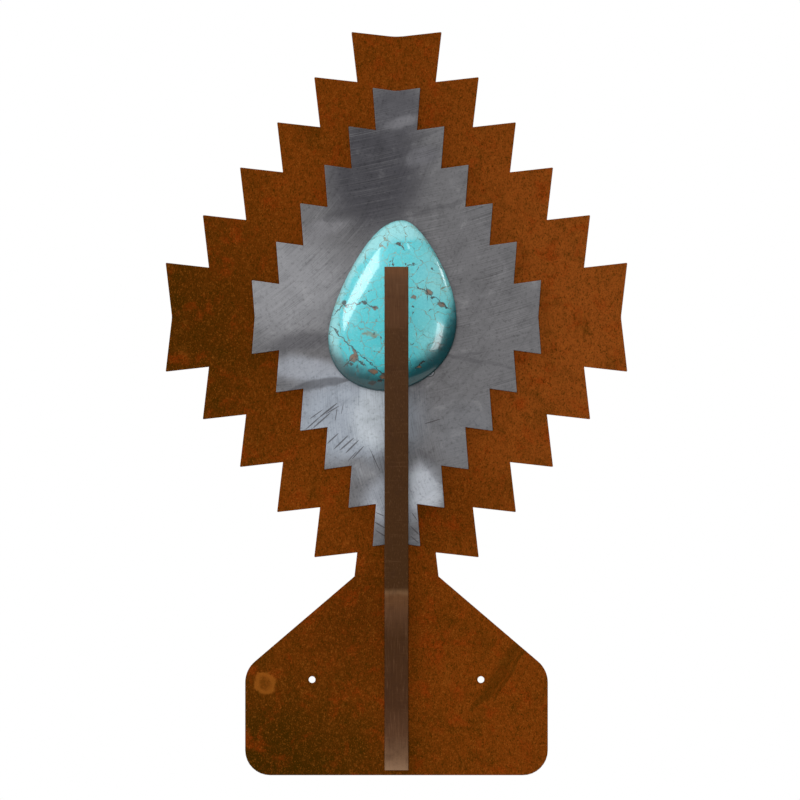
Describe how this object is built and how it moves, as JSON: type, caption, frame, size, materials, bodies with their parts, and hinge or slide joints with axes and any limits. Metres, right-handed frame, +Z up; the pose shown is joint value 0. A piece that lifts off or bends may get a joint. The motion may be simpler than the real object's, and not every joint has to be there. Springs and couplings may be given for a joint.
{
  "type": "kinetic wind sculpture",
  "caption": "Wall-hung stepped steel plate on a foot, with a stepped brushed diamond and a domed stone that turn on an axle behind a flat bar bracket.",
  "frame": {"origin": "on the back face of the plate, on its centre line, midway between the two wall screw holes", "axes": "+Z up the plate, +X to the right seen from the front, +Y into the wall, so the front faces -Y"},
  "size_m": [0.369, 0.0701, 0.5942],
  "materials": {
    "weathering_steel": "matte",
    "bronzed_steel": "satin",
    "brushed_steel": "satin",
    "turquoise": "polished",
    "black_resin": "matte",
    "turned_steel": "satin",
    "zinc_plate": "satin",
    "bearing_bronze": "satin",
    "nylon": "satin"
  },
  "bodies": {
    "frame": {"back_plate": "weathering_steel", "strap_bracket": "bronzed_steel", "strap_spacer_upper": "turned_steel", "strap_spacer_lower": "turned_steel", "strap_screw_upper": "zinc_plate", "strap_screw_lower": "zinc_plate", "axle": "turned_steel", "axle_boss": "turned_steel", "boss_rivet_1": "zinc_plate", "boss_rivet_2": "zinc_plate", "boss_rivet_3": "zinc_plate", "rear_washer": "nylon", "front_washer": "nylon", "front_spacer": "turned_steel"},
    "rotor": {"diamond_panel": "brushed_steel", "turquoise_stone": "turquoise", "stone_backing": "black_resin", "rotor_hub": "turned_steel", "hub_rivet_1": "zinc_plate", "hub_rivet_2": "zinc_plate", "hub_rivet_3": "zinc_plate", "hub_rivet_4": "zinc_plate", "rear_bush": "bearing_bronze", "front_bush": "bearing_bronze", "balance_weight": "turned_steel", "weight_rivet_1": "zinc_plate", "weight_rivet_2": "zinc_plate"}
  },
  "joints": [
    {"name": "diamond_spin", "type": "hinge", "parent": "frame", "child": "rotor", "pos_m": [0, -0.012, 0.2898], "axis": [0, 1, 0], "continuous": true}
  ]
}
